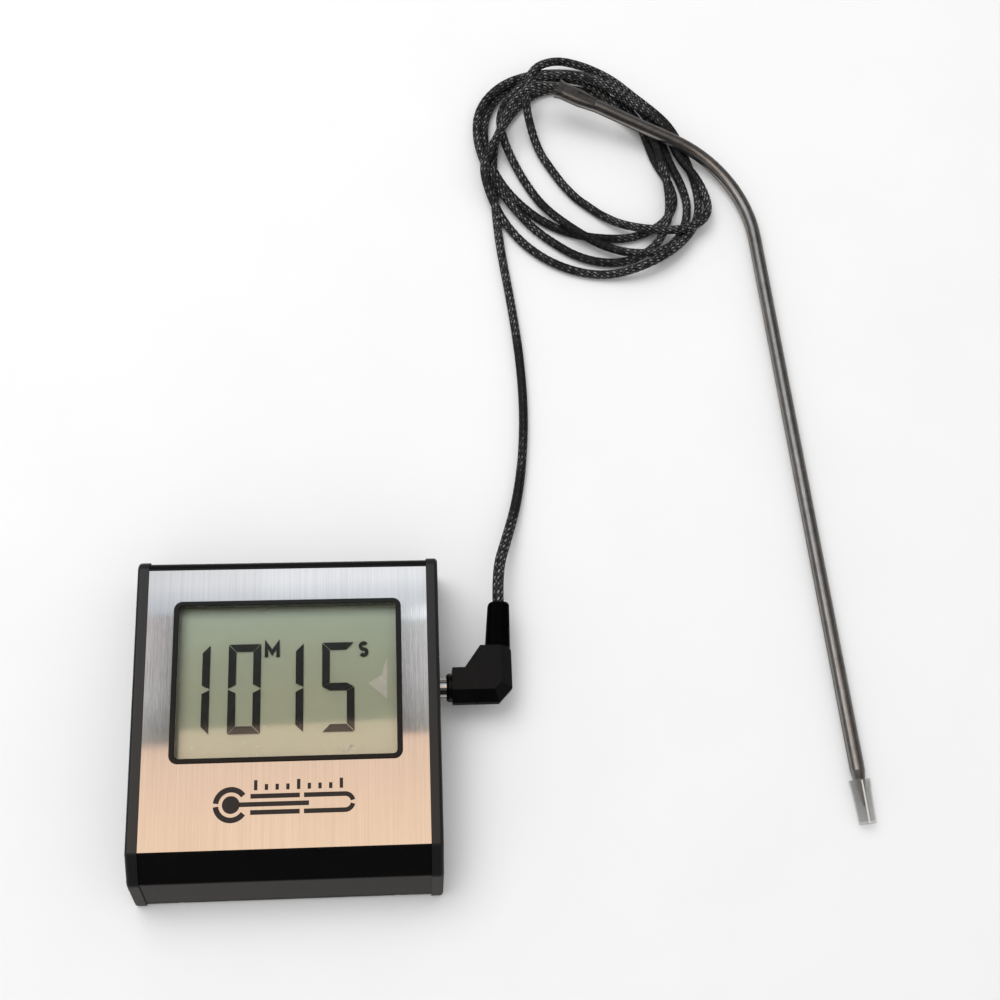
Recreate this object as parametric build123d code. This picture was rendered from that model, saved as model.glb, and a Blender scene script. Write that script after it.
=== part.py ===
from build123d import *
from math import radians, tan
import os

# Wired meat thermometer: a display unit lying on its back, a right-angle plug in its side, a
# steel-braided cord that runs up to a loose coil, and a bent steel probe whose crimped end rests
# on the coil. Millimetres. Origin: centre of the unit's flat back, on the table. +Z points out of
# the display, +Y to the unit's top edge and +X to the jack.

# ---- Display unit ----
unit_width = 75.0
unit_length = 82.0
face_z = 18.0
cap_width = 2.9
cap_proud = 0.4
wall = 1.8
seam_z = 2.6
foot_lean = 4.0
bevel_low_z = 13.4
bevel_run = 6.8
fit_gap = 0.1

# ---- Face plate and window ----
plate_thick = 0.65
plate_sink = 0.5
plate_top_gap = 2.0
window_y = 10.55
window_size = (56.2, 40.1)
bezel_inside = (53.5, 37.7)
bezel_body = (55.2, 39.1)
bezel_lip = 0.45
lens_size = (58.0, 41.0)
lens_thick = 1.0
lcd_size = (58.0, 42.0)
lcd_top_z = 14.4
lcd_thick = 2.0
reflector_thick = 0.3

# ---- Main board ----
board_top_z = 10.8
board_thick = 1.2
board_half_width = 33.0
board_low_y = -16.0
board_high_y = 36.4

# ---- Buttons on the top edge, and the slide switch on the back ----
button_names = ("button_mode", "button_minute", "button_second", "button_start_stop")
button_pitch = 15.4
button_size = (10.0, 4.2)
button_z = 7.8
button_proud = 1.0
button_flange = (11.6, 5.2, 0.8)
button_stem_y = 37.0
button_stem_width = 3.0
tact_size = (6.0, 3.2)
tact_plunger_y = 36.2
switch_y = 29.0
switch_travel = 3.0
switch_nub = (3.0, 2.4)
switch_flange = (8.4, 4.8, 0.8)
switch_case = (8.6, 4.4)
switch_case_low_z = 4.9

# ---- Battery, door and stand ----
battery_radius = 5.25
battery_length = 44.5
battery_y = -28.5
battery_z = 8.2
battery_nub = (1.9, 1.0)
contact_half = 3.6
contact_thick = 0.4
spring_radius = 3.0
spring_wire = 0.35
tray_half_inside = 24.6
tray_wall = 2.8
door_half_width = 25.8
door_tongue = 0.95
door_top_y = -19.4
door_z = (0.3, 1.8)
leg_width = 44.0
leg_thick = 2.0
leg_hinge_y = 17.5
leg_hinge_z = 1.9
leg_foot_y = -13.0
leg_arm = 11.0
leg_barrel_radius = 1.55
pin_radius = 0.75
magnet_radius = 5.0
magnet_x = 24.0
magnet_y = 30.0
magnet_thick = 2.0
sound_hole_y = -17.3
sound_hole_x = [12.0, 14.6, 17.2, 19.8, 22.4]

# ---- Screws ----
post_places = [(31.0, 36.4), (-31.0, 36.4), (31.0, -20.0), (-31.0, -20.0)]
board_screw_places = [(16.0, 34.6), (-16.0, 34.6), (25.0, -14.0), (-25.0, -14.0)]
post_radius = 2.3
post_low_z = 3.4
screw_radius = 1.0
screw_head_radius = 1.75
screw_head_z = 2.0
screw_head_tall = 1.3
board_post_radius = 1.7
board_screw_radius = 0.8

# ---- Jack and plug ----
jack_y = 9.6
jack_z = 7.0
jack_radius = 1.75
jack_depth = 14.1
jack_nose_radius = 3.0
plug_shoulder = (2.45, 39.4)
plug_collar = (3.65, 41.0)
elbow_half_thick = 4.4
elbow_outline = [
    (40.9, 5.4),
    (52.8, 5.4),
    (56.2, 9.0),
    (56.2, 18.6),
    (55.6, 19.6),
    (48.1, 19.6),
    (44.1, 14.0),
    (40.9, 14.0),
]
elbow_chamfer = 2.9
boot_x = (52.8, 53.5)
boot_y = (19.6, 31.6)
boot_widths = (6.4, 5.5)

# ---- Cord: route of the lead from the plug to the coil, and of the tail from the coil to the probe ----
cord_diameter = 2.5
lead_route = [
    (53.5, 31.6, 7.0),
    (53.5, 40.5, 7.0),
    (56.6, 50.0, 3.9),
    (60.0, 61.0, 1.4),
    (62.2, 74.0, 1.32),
    (63.2, 89.0, 1.3),
    (62.6, 105.5, 1.3),
    (60.8, 122.3, 1.3),
    (58.7, 137.2, 1.3),
    (57.5, 151.0, 1.3),
]
coil_outline = [
    (51.0, 172.0),
    (55.0, 190.0),
    (69.0, 201.5),
    (84.0, 203.2),
    (101.0, 192.5),
    (112.5, 177.0),
    (118.6, 161.0),
    (122.6, 147.0),
    (113.0, 134.5),
    (98.0, 128.5),
    (82.0, 129.0),
    (66.0, 137.5),
    (55.0, 151.0),
]
coil_hole_centre = (89.0, 169.0)
coil_hole_radii = (21.0, 16.5)
coil_hole_turn = -55.0
coil_height = 6.4
slot_gap = 0.4
slot_middle = 30.0
slot_length = 68.0
slot_wide = 6.6
slot_tall = 20.0

# ---- Probe: a stem lying on the table and a handle that rises to rest on the coil ----
tube_radius = 1.9
tube_bore = 1.45
probe_mouth = (76.5, 187.2, 11.0)
probe_corner = (132.0, 164.9, 1.9)
probe_point = (146.2, -22.7, 1.9)
probe_bend_radius = 36.0
tip_length = 9.2
crimp_length = 13.0
crimp_width = 5.2
crimp_height = 3.3
crimp_flat = 7.5
crimp_grip = 3.6
crimp_flare = (6.0, 3.9, 1.8)
dent_middle = 9.2
dent_size = (6.0, 2.3, 1.5)
tail_straight = 3.6
tip_plug = 3.0
sensor_back = 5.8
sensor_radius = 1.0
sensor_length = 3.0
guard_start = 6.8
guard_length = 11.3

os.makedirs("parts", exist_ok=True)


def save(node, shape):
    """Write one node, as its own STEP file."""
    if isinstance(shape, (list, ShapeList)):
        shape = Compound(children=list(shape))
    export_step(shape, f"parts/{node}.step")


def box(x, y, z):
    """Box from its (low, high) extents along each axis."""
    size = Box(x[1] - x[0], y[1] - y[0], z[1] - z[0])
    return Pos((x[0] + x[1]) / 2, (y[0] + y[1]) / 2, (z[0] + z[1]) / 2) * size


def rod_x(radius, x, y, z):
    """Round rod along X between the two values of x."""
    return Pos((x[0] + x[1]) / 2, y, z) * Rot(0, 90, 0) * Cylinder(radius, x[1] - x[0])


def rod_y(radius, y, x, z):
    """Round rod along Y between the two values of y."""
    return Pos(x, (y[0] + y[1]) / 2, z) * Rot(90, 0, 0) * Cylinder(radius, y[1] - y[0])


def rod_z(radius, z, x, y):
    """Round rod along Z between the two values of z."""
    return Pos(x, y, (z[0] + z[1]) / 2) * Cylinder(radius, z[1] - z[0])


def rounded_slab(size, radius, z, y=0.0):
    """Rectangle with rounded corners, centred on x = 0 and the given y, between the two values of z."""
    return Pos(0, y, z[0]) * extrude(RectangleRounded(size[0], size[1], radius), z[1] - z[0])


def unit_side(grow=0.0):
    """The unit's side outline in the YZ plane, grown outwards by the given amount."""
    half = unit_length / 2
    corners = [
        (-half, 0),
        (-half + foot_lean, bevel_low_z),
        (-half + foot_lean + bevel_run, face_z),
        (half, face_z),
        (half, 0),
    ]
    outline = make_face(Plane.YZ * FilletPolyline(*corners, radius=[1.2, 1.8, 1.2, 2.2, 1.5], close=True))
    if grow:
        outline = offset(outline, amount=grow, kind=Kind.INTERSECTION)
    return outline


def unit_block(x, grow=0.0):
    """Solid of the unit's side outline between the two values of x."""
    return Pos(x[0], 0, 0) * extrude(unit_side(grow), x[1] - x[0], dir=(1, 0, 0))


half_body = unit_width / 2 - cap_width
body_x = (-half_body, half_body)
plate_y = (-unit_length / 2 + foot_lean + bevel_run, unit_length / 2 - plate_top_gap)
shell_inside_z = face_z - wall - plate_sink
button_x = [button_pitch * (i - 1.5) for i in range(len(button_names))]
high = 40.0


# ---- Housing ----
def housing_tube():
    """Hollow extrusion of the unit's side outline, shared by the front shell and the rear cover."""
    inside = unit_block(body_x, -wall) & box(body_x, (-high * 2, high * 2), (wall, shell_inside_z))
    return unit_block(body_x) - inside


def window_hole(low_z):
    """Cutter for the bezel's hole, from the given height upwards."""
    size = (bezel_body[0] + 2 * fit_gap, bezel_body[1] + 2 * fit_gap)
    return rounded_slab(size, 1.7, (low_z, high), window_y)


def front_shell():
    shell = housing_tube() & box(body_x, (-high * 2, high * 2), (seam_z, high))
    shell -= box(body_x, (plate_y[0], plate_y[1]), (face_z - plate_sink, high))
    shell -= window_hole(shell_inside_z - 1)
    for x, y in post_places:
        shell += rod_z(post_radius, (post_low_z, shell_inside_z + 0.2), x, y)
        shell -= rod_z(screw_radius + 0.02, (post_low_z - 1, 11.0), x, y)
    for x, y in board_screw_places:
        shell += rod_z(board_post_radius, (board_top_z, shell_inside_z + 0.2), x, y)
        shell -= rod_z(board_screw_radius + 0.02, (board_top_z - 1, 14.4), x, y)
    width, height = button_size
    for x in button_x:
        slot = Box(width + 2 * fit_gap, 8, height + 2 * fit_gap)
        shell -= Pos(x, unit_length / 2, button_z) * slot
    return shell


def face_plate():
    """Brushed steel sheet with the window cut-out, proud of the shell by a hair."""
    low_z = face_z - plate_sink
    half = half_body - 0.05
    plate = box((-half, half), (plate_y[0] + 0.05, plate_y[1] - 0.05), (low_z, low_z + plate_thick))
    plate -= window_hole(low_z - 1)
    top_edges = plate.edges().filter_by(Axis.X).group_by(Axis.Z)[-1]
    return chamfer([top_edges.sort_by(Axis.Y)[0], top_edges.sort_by(Axis.Y)[-1]], 0.2)


def window_bezel():
    """Black frame round the window, with a lip that overlaps the plate."""
    plate_face = face_z - plate_sink + plate_thick
    frame = rounded_slab(bezel_body, 1.6, (shell_inside_z, plate_face), window_y)
    frame += rounded_slab(window_size, 2.1, (plate_face, plate_face + bezel_lip), window_y)
    frame -= rounded_slab(bezel_inside, 1.0, (shell_inside_z - 1, high), window_y)
    lip_edges = frame.edges().group_by(Axis.Z)[-1]
    return fillet(lip_edges, 0.18)


def window_lens():
    return rounded_slab(lens_size, 1.5, (shell_inside_z - lens_thick, shell_inside_z), window_y)


def end_cap(side):
    """End cap with a tongue that plugs the housing; side is +1 for the jack side and -1 for the other."""
    cap = unit_block((half_body, unit_width / 2), cap_proud)
    cap &= box((half_body, unit_width / 2), (-high * 2, high * 2), (0, high))
    rim = cap.edges().group_by(Axis.X)[-1]
    cap = fillet(rim, 0.9)
    tongue = unit_block((half_body - 1.2, half_body), -wall - 0.15)
    tongue -= unit_block((half_body - 2, half_body + 1), -wall - 1.15)
    tongue &= box((0, high), (-high * 2, high * 2), (wall + 0.15, shell_inside_z - 0.1))
    cap += tongue
    if side > 0:
        cap -= rod_x(jack_nose_radius + fit_gap, (half_body - 3, unit_width), jack_y, jack_z)
    else:
        cap = mirror(cap, about=Plane.YZ)
    return cap


def stand_pocket():
    """U-shaped pocket that the folded stand lies in, with room for its hinge barrels."""
    gap = 0.4
    side = leg_width / 2 + gap
    pocket = box((-side, side), (leg_foot_y - gap, leg_hinge_y + 2.4), (-1, leg_thick + 0.6))
    island_x = leg_width / 2 - leg_arm - gap
    pocket -= box((-island_x, island_x), (leg_foot_y + leg_arm + gap, leg_hinge_y + 3), (-2, 3))
    barrels = box((-side, side), (leg_hinge_y - 2.4, leg_hinge_y + 2.4), (-1, leg_hinge_z + 2.0))
    barrels -= box((-island_x, island_x), (leg_hinge_y - 3, leg_hinge_y + 3), (-2, 6))
    return pocket + barrels


def rear_cover():
    cover = housing_tube() & box(body_x, (-high * 2, high * 2), (-1, seam_z))
    side = leg_width / 2 + 2.2
    cover += box((-side, side), (leg_foot_y - 1.8, leg_hinge_y + 3.8), (wall - 0.2, leg_thick + 1.6))
    cover += box((-side, side), (leg_hinge_y - 3.6, leg_hinge_y + 3.8), (wall - 0.2, leg_hinge_z + 3.0))
    for x, y in post_places:
        cover += rod_z(post_radius, (wall - 0.2, post_low_z), x, y)
    for x in (-magnet_x, magnet_x):
        cover += rod_z(magnet_radius + 1.2, (wall - 0.2, magnet_thick + 1.2), x, magnet_y)
    cover -= stand_pocket()
    pin_half = leg_width / 2 + 1.6
    cover -= rod_x(pin_radius + 0.1, (-pin_half, pin_half), leg_hinge_y, leg_hinge_z)
    for x in (-magnet_x, magnet_x):
        cover -= rod_z(magnet_radius + 0.05, (-1, magnet_thick), x, magnet_y)
    for x, y in post_places:
        cover -= rod_z(screw_head_radius + 0.25, (-1, screw_head_z), x, y)
        cover -= rod_z(screw_radius + 0.15, (-1, post_low_z + 1), x, y)
    half_slot = (switch_travel + switch_nub[0]) / 2 + fit_gap
    half_high = switch_nub[1] / 2 + fit_gap
    cover -= box((-half_slot, half_slot), (switch_y - half_high, switch_y + half_high), (-1, 3))
    half_door = door_half_width + 0.15
    channel_y = (-unit_length, door_top_y + 0.15)
    cover -= box((-half_door, half_door), channel_y, (-1, door_z[1] + 0.1))
    cover -= box((-half_door - 1.1, half_door + 1.1), channel_y, (0.75, 1.5))
    cover -= box((-4.3, 4.3), (door_top_y - 1, door_top_y + 3.2), (0.8, 3))
    for x in sound_hole_x:
        cover -= rod_z(0.6, (-1, 3), x, sound_hole_y)
    return cover


# ---- Window contents ----
def lcd_cell():
    cell = rounded_slab(lcd_size, 0.4, (lcd_top_z - lcd_thick / 2, lcd_top_z), window_y)
    back = (lcd_size[0] - 0.6, lcd_size[1] - 5.0)
    return cell + rounded_slab(back, 0.4, (lcd_top_z - lcd_thick, lcd_top_z - lcd_thick / 2), window_y)


def lcd_reflector():
    size = (lcd_size[0] - 2.0, lcd_size[1] - 6.0)
    low_z = lcd_top_z - lcd_thick - reflector_thick
    return rounded_slab(size, 0.4, (low_z, lcd_top_z - lcd_thick), window_y)


def lcd_frame():
    """Holder that stands on the board round the display glass."""
    outer = (lcd_size[0] + 1.8, lcd_size[1] + 1.8)
    frame = rounded_slab(outer, 1.2, (board_top_z, shell_inside_z - lens_thick), window_y)
    clear = (lcd_size[0] + 0.1, lcd_size[1] + 0.1)
    return frame - rounded_slab(clear, 0.5, (board_top_z - 1, high), window_y)


def zebra_strips():
    """Two conductive rubber strips between the glass ledges and the board."""
    ledge_z = (board_top_z, lcd_top_z - lcd_thick / 2)
    strips = []
    for side in (-1, 1):
        y = window_y + side * (lcd_size[1] / 2 - 1.2)
        strips.append(box((-26, 26), (y - 0.8, y + 0.8), ledge_z))
    return strips


# ---- Board and what is soldered to it ----
board_low_z = board_top_z - board_thick


def main_board():
    board_x = (-board_half_width, board_half_width)
    board = box(board_x, (board_low_y, board_high_y), (board_low_z, board_top_z))
    for x, y in post_places:
        board -= rod_z(2.7, (0, high), x, y)
    for x, y in board_screw_places:
        board -= rod_z(screw_radius, (0, high), x, y)
    return board


def chip_cover():
    """Domed blob of resin over the controller chip."""
    dome = Pos(-12, 6, board_low_z + 7.5) * Sphere(9.0)
    return dome & box((-30, 30), (-20, 30), (board_low_z - 3, board_low_z))


def board_parts():
    """Crystal, capacitors and resistors on the back of the board."""
    parts = [rod_x(1.0, (-27, -21), 20, board_low_z - 1.0)]
    parts.append(rod_z(2.0, (board_low_z - 3.0, board_low_z), -27, 11))
    for x, y in [(-4, 22), (0, 22), (4, 22), (-20, -5), (-16, -5), (-2, -8), (6, -8)]:
        parts.append(box((x - 1, x + 1), (y - 0.6, y + 0.6), (board_low_z - 0.6, board_low_z)))
    return parts


def tact_switches():
    """Side-pressed switches along the board's top edge, one behind each button."""
    switches = []
    width, depth = tact_size
    back_y = tact_plunger_y - 0.4
    for x in button_x:
        body = box((x - width / 2, x + width / 2), (back_y - depth, back_y), (button_z - 1.9, board_low_z))
        switches.append(body + rod_y(0.9, (back_y, tact_plunger_y), x, button_z))
    return switches


def piezo_disc():
    """Brass sounder with its ceramic layer, glued behind the face."""
    brass = rod_z(8.0, (shell_inside_z - 0.5, shell_inside_z), 0, -20.2)
    return brass + rod_z(5.5, (shell_inside_z - 0.75, shell_inside_z - 0.5), 0, -20.2)


# ---- Controls ----
def button(x):
    """Key with a flange that stops behind the shell's top wall, and a stem over its switch."""
    inner_y = unit_length / 2 - wall
    width, height = button_size
    key_length = unit_length / 2 + button_proud - inner_y + 0.3
    key = Pos(x, inner_y - 0.3 + key_length / 2, button_z) * Box(width, key_length, height)
    key = fillet(key.edges().group_by(Axis.Y)[-1], 0.5)
    wide, tall, thick = button_flange
    key += Pos(x, inner_y - fit_gap - thick / 2, button_z) * Box(wide, thick, tall)
    half = button_stem_width / 2
    stem_y = (button_stem_y, inner_y - 0.5)
    return key + box((x - half, x + half), stem_y, (button_z - 1, button_z + 1))


def unit_switch_body():
    tall = board_low_z - switch_case_low_z
    return Pos(0, switch_y, switch_case_low_z + tall / 2) * Box(*switch_case, tall)


def unit_switch_knob():
    """Slide knob at the left end of its travel: ribbed nub outside, flange and stem inside."""
    x = -switch_travel / 2
    nub = Pos(x, switch_y, 1.1) * Box(*switch_nub, 1.8)
    for i in (-1, 0, 1):
        nub -= Pos(x + i, switch_y, 0.25) * Box(0.3, 4, 0.5)
    flange_z = wall + fit_gap + switch_flange[2] / 2
    flange = Pos(x, switch_y, flange_z) * Box(*switch_flange)
    stem = box((x - 1, x + 1), (switch_y - 1, switch_y + 1), (flange_z, switch_case_low_z - 0.05))
    return nub + flange + stem


# ---- Battery compartment ----
def battery_tray():
    """Cradle for the cell, open to the battery door."""
    room = tray_half_inside
    half = room + tray_wall
    tray = box((-half, half), (battery_y - 6.6, battery_y + 6.6), (seam_z + 0.4, 14.7))
    tray &= unit_block((-half - 1, half + 1), -wall - 0.15)
    mouth = battery_radius + 0.1
    pocket = rod_x(battery_radius + 0.25, (-room, room), battery_y, battery_z)
    pocket += box((-room, room), (battery_y - mouth, battery_y + mouth), (0, battery_z - 0.5))
    return tray - pocket


def battery():
    """One AAA cell with its positive nub towards +X."""
    nub_radius, nub_length = battery_nub
    high_x = tray_half_inside - contact_thick
    low_x = high_x - battery_length
    can = rod_x(battery_radius, (low_x, high_x - nub_length), battery_y, battery_z)
    can = fillet(can.edges().filter_by(GeomType.CIRCLE), 0.5)
    return can + rod_x(nub_radius, (high_x - nub_length - 0.1, high_x), battery_y, battery_z)


def contact_plate(low_x):
    """Square contact plate whose low face is at the given x."""
    side = 2 * contact_half
    return Pos(low_x + contact_thick / 2, battery_y, battery_z) * Box(contact_thick, side, side)


def battery_contact():
    return contact_plate(tray_half_inside - contact_thick)


def battery_spring():
    """Coil spring that presses on the cell's flat end, with its backing plate."""
    room = 2 * (tray_half_inside - contact_thick) - battery_length
    line = Helix(pitch=1.15, height=room - 2 * spring_wire - 0.1, radius=spring_radius)
    coil = sweep(Plane(origin=line @ 0, z_dir=line % 0) * Circle(spring_wire), path=line, is_frenet=True)
    low_x = contact_thick - tray_half_inside + spring_wire + 0.05
    return [contact_plate(-tray_half_inside), Pos(low_x, battery_y, battery_z) * Rot(0, 90, 0) * coil]


def battery_door():
    """Sliding door with side tongues, a latch tongue and a ribbed thumb grip."""
    door = unit_block((-door_half_width, door_half_width))
    door &= box((-door_half_width, door_half_width), (-unit_length, door_top_y), door_z)
    tongue_x = door_half_width + door_tongue
    side_tongues = box((-tongue_x, tongue_x), (-unit_length / 2 + 2, door_top_y), (0.85, 1.4))
    door += side_tongues
    door += box((-4, 4), (door_top_y - 0.5, door_top_y + 2.9), (0.9, 1.6))
    for i in range(6):
        y = -38.0 + 1.2 * i
        door -= box((-7, 7), (y - 0.25, y + 0.25), (0, door_z[0] + 0.35))
    return door


# ---- Stand and magnets ----
def stand_leg():
    """U-shaped leg with two hinge barrels, folded into the back."""
    half = leg_width / 2
    low_z = leg_hinge_z - leg_thick / 2 - 0.6
    flat = box((-half, half), (leg_foot_y, leg_hinge_y), (low_z, low_z + leg_thick))
    flat -= box((-half + leg_arm, half - leg_arm), (leg_foot_y + leg_arm, high), (-1, high))
    for side in (-1, 1):
        middle = side * (half - leg_arm / 2)
        span = (middle - leg_arm / 2, middle + leg_arm / 2)
        flat += rod_x(leg_barrel_radius, span, leg_hinge_y, leg_hinge_z)
    flat -= rod_x(pin_radius + 0.05, (-half - 1, half + 1), leg_hinge_y, leg_hinge_z)
    for i in range(4):
        y = leg_foot_y + 1.6 + 1.3 * i
        flat -= box((-9, 9), (y - 0.25, y + 0.25), (-1, low_z + 0.3))
    return flat


def stand_pin():
    half = leg_width / 2 + 1.5
    return rod_x(pin_radius, (-half, half), leg_hinge_y, leg_hinge_z)


def magnets():
    return [rod_z(magnet_radius, (0.0, magnet_thick), x, magnet_y) for x in (-magnet_x, magnet_x)]


# ---- Fasteners ----
def screw(x, y, head_z, tip_z, radius, head_radius):
    """Pan-head screw driven upwards, with a cross slot in its head."""
    low_z = head_z - screw_head_tall
    head = rod_z(head_radius, (low_z, head_z), x, y)
    head = fillet(head.edges().group_by(Axis.Z)[0], 0.5)
    for angle in (45, 135):
        head -= Pos(x, y, low_z) * Rot(0, 0, angle) * Box(0.5, head_radius * 1.3, 1.2)
    return head + rod_z(radius, (head_z, tip_z), x, y)


def case_screws():
    return [screw(x, y, screw_head_z, 10.5, screw_radius, screw_head_radius) for x, y in post_places]


def board_screws():
    return [screw(x, y, board_low_z, 14.0, board_screw_radius, 1.6) for x, y in board_screw_places]


# ---- Jack and plug ----
def jack_socket():
    """Board-mounted jack with a round nose through the end cap."""
    mouth = unit_width / 2
    body_x = (mouth - jack_depth - 1.6, half_body - 0.2)
    body = box(body_x, (jack_y - 3.1, jack_y + 3.1), (jack_z - 2.6, board_low_z))
    body += rod_x(jack_nose_radius, (half_body - 1, mouth), jack_y, jack_z)
    body -= rod_x(jack_radius + 0.05, (mouth - jack_depth - 0.3, mouth + 1), jack_y, jack_z)
    return body - box((24, 32), (jack_y + 1.9, jack_y + 2.5), (jack_z - 1.2, jack_z + 1.2))


def jack_contact():
    """Leaf contact beside the bore."""
    return box((24.2, 31.8), (jack_y + 1.95, jack_y + 2.35), (jack_z - 1, jack_z + 1))


def plug_tip():
    """Tip contact: rounded nose and neck."""
    end = unit_width / 2 - jack_depth
    nose = rod_x(jack_radius - 0.1, (end, end + 2.2), jack_y, jack_z)
    nose = chamfer(nose.edges().filter_by(GeomType.CIRCLE).sort_by(Axis.X)[0], 1.0)
    neck = rod_x(1.25, (end + 2.2, end + 3.6), jack_y, jack_z)
    return nose + neck


def plug_insulator():
    end = unit_width / 2 - jack_depth
    return rod_x(jack_radius - 0.03, (end + 3.6, end + 4.4), jack_y, jack_z)


def plug_sleeve():
    """Barrel inside the jack and the polished shoulder outside it."""
    end = unit_width / 2 - jack_depth
    barrel = rod_x(jack_radius, (end + 4.4, unit_width / 2 + 0.1), jack_y, jack_z)
    radius, outer_x = plug_shoulder
    return barrel + rod_x(radius, (unit_width / 2 + 0.08, outer_x), jack_y, jack_z)


def plug_body():
    """Faceted right-angle grip moulded over the wires, with a round collar at the metal."""
    face = make_face(Polyline(*elbow_outline, close=True))
    elbow = Pos(0, 0, jack_z - elbow_half_thick) * extrude(face, 2 * elbow_half_thick)
    low_y = elbow_outline[1][1]
    outer_x = elbow_outline[1][0]
    top_y = elbow_outline[3][1]
    rims = elbow.edges().filter_by(Axis.Z, reverse=True)
    low_rims = rims.filter_by(lambda edge: edge.center().Y < low_y + 0.1)
    side_rims = rims.filter_by(lambda edge: low_y + 0.1 < edge.center().Y < top_y)
    outer_rims = side_rims.filter_by(lambda edge: edge.center().X > outer_x)
    elbow = chamfer(low_rims + outer_rims, elbow_chamfer)
    radius, end_x = plug_collar
    collar = rod_x(radius, (plug_shoulder[1], end_x), jack_y, jack_z)
    collar = chamfer(collar.edges().filter_by(GeomType.CIRCLE).sort_by(Axis.X)[0], 0.5)
    return elbow + collar


def plug_boot():
    """Tapered strain relief where the cord leaves the plug."""
    ends = []
    for x, y, width in zip(boot_x, boot_y, boot_widths):
        plane = Plane(origin=(x, y, jack_z), x_dir=(1, 0, 0), z_dir=(0, 1, 0))
        ends.append(plane * RectangleRounded(width, width, 0.33 * width))
    boot = loft(ends)
    return fillet(boot.edges().group_by(Axis.Y)[-1], 1.0)


# ---- Cord ----
def bend_radii(route):
    """Radius at each corner: 0.45 of the shorter run over the tangent of half the turn."""
    radii = []
    for before, corner, after in zip(route, route[1:], route[2:]):
        run_in = Vector(*corner) - Vector(*before)
        run_out = Vector(*after) - Vector(*corner)
        half_turn = radians(run_in.get_angle(run_out) / 2)
        radii.append(0.45 * min(run_in.length, run_out.length) / tan(half_turn))
    return radii


def round_tube(route, radius):
    """Round tube along straight runs joined by tangent arcs."""
    path = FilletPolyline(*route, radius=bend_radii(route))
    section = Plane(origin=path @ 0, z_dir=path % 0) * Circle(radius)
    return sweep(section, path=path), section.area * path.length, path.length


def cord_tube(name, route):
    tube, straight_volume, length = round_tube(route, cord_diameter / 2)
    radii = [round(radius, 1) for radius in bend_radii(route)]
    print(name, "radii", radii, "length", round(length, 1))
    print(name, "volume over section times length", round(tube.volume / straight_volume, 4))
    return tube


def along(start, end, distance):
    """Point at a distance from start towards end."""
    step = (Vector(*end) - Vector(*start)).normalized()
    return Vector(*start) + step * distance


mouth_inside = tuple(along(probe_mouth, probe_corner, crimp_grip))
tail_route = [
    mouth_inside,
    tuple(along(probe_mouth, probe_corner, -tail_straight)),
    (66.2, 186.4, 11.0),
    (61.6, 181.0, 8.9),
    (59.4, 174.9, 6.0),
]


def cord_pocket(route):
    """Clearance round the end of a route, so that the coil meets the tube's flat end and nothing else."""
    return round_tube(route, cord_diameter / 2 + 0.15)[0]


def cord_coil():
    """Outer shape of the loose coil: a low ring with room for the probe's handle on top."""
    ring = extrude(make_face(Spline(*coil_outline, periodic=True)), coil_height)
    hole = Pos(*coil_hole_centre) * Rot(0, 0, coil_hole_turn) * Ellipse(*coil_hole_radii)
    ring -= Pos(0, 0, -1) * extrude(hole, coil_height + 2)
    handle_line = Vector(*probe_corner) - Vector(*probe_mouth)
    side = handle_line.cross(Vector(0, 0, 1)).normalized()
    handle_plane = Plane(origin=probe_mouth, x_dir=handle_line, z_dir=handle_line.cross(side) * -1)
    slot_floor = tube_radius + slot_gap
    slot = Box(slot_length, slot_wide, slot_tall)
    ring -= handle_plane * Pos(slot_middle, 0, slot_tall / 2 - slot_floor) * slot
    ring -= cord_pocket(lead_route[-3:])
    ring -= cord_pocket(tail_route)
    return ring.solids().sort_by(SortBy.VOLUME)[-1]


# ---- Probe ----
def probe_path(start, end):
    """Centre line between two points of the handle and the stem."""
    return FilletPolyline(start, probe_corner, end, radius=probe_bend_radius)


stem_end = tuple(along(probe_point, probe_corner, tip_length))


def probe_tube():
    """Bent steel tube from the crimp to the tip."""
    start = tuple(along(probe_mouth, probe_corner, crimp_length))
    path = probe_path(start, stem_end)
    section = Plane(origin=path @ 0, z_dir=path % 0) * (Circle(tube_radius) - Circle(tube_bore))
    return sweep(section, path=path)


def probe_crimp():
    """Flattened and dented end of the tube that grips the cord."""
    axis = Vector(*probe_corner) - Vector(*probe_mouth)
    side = axis.cross(Vector(0, 0, 1)).normalized()
    mouth = Plane(origin=probe_mouth, x_dir=side, z_dir=axis)
    flat_end = mouth.offset(crimp_flat)
    tube_end = mouth.offset(crimp_length)
    squeezed = RectangleRounded(crimp_width, crimp_height, 1.55)
    crimp = extrude(mouth * squeezed, crimp_flat, dir=axis.normalized())
    crimp += loft([flat_end * squeezed, tube_end * Circle(tube_radius)])
    wide, tall, length = crimp_flare
    crimp += loft([mouth * RectangleRounded(wide, tall, 1.8), mouth.offset(length) * squeezed])
    crimp -= extrude(mouth * Circle(cord_diameter / 2 + 0.1), crimp_grip, dir=axis.normalized())
    crimp -= extrude(mouth.offset(crimp_grip) * Circle(0.7), crimp_length, dir=axis.normalized())
    dent_place = Plane(origin=mouth.offset(dent_middle).origin, x_dir=axis, z_dir=side.cross(axis))
    return crimp - dent_place * Pos(0, 0, tube_radius) * Box(*dent_size)


def probe_tip():
    """Solid ground point with a plug that closes the tube."""
    axis = Vector(*probe_point) - Vector(*probe_corner)
    base = Plane(origin=stem_end, z_dir=axis)
    cone = base * Pos(0, 0, tip_length / 2) * Cone(tube_radius, 0.25, tip_length)
    return cone + base * Pos(0, 0, -tip_plug / 2) * Cylinder(tube_bore - 0.01, tip_plug)


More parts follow.
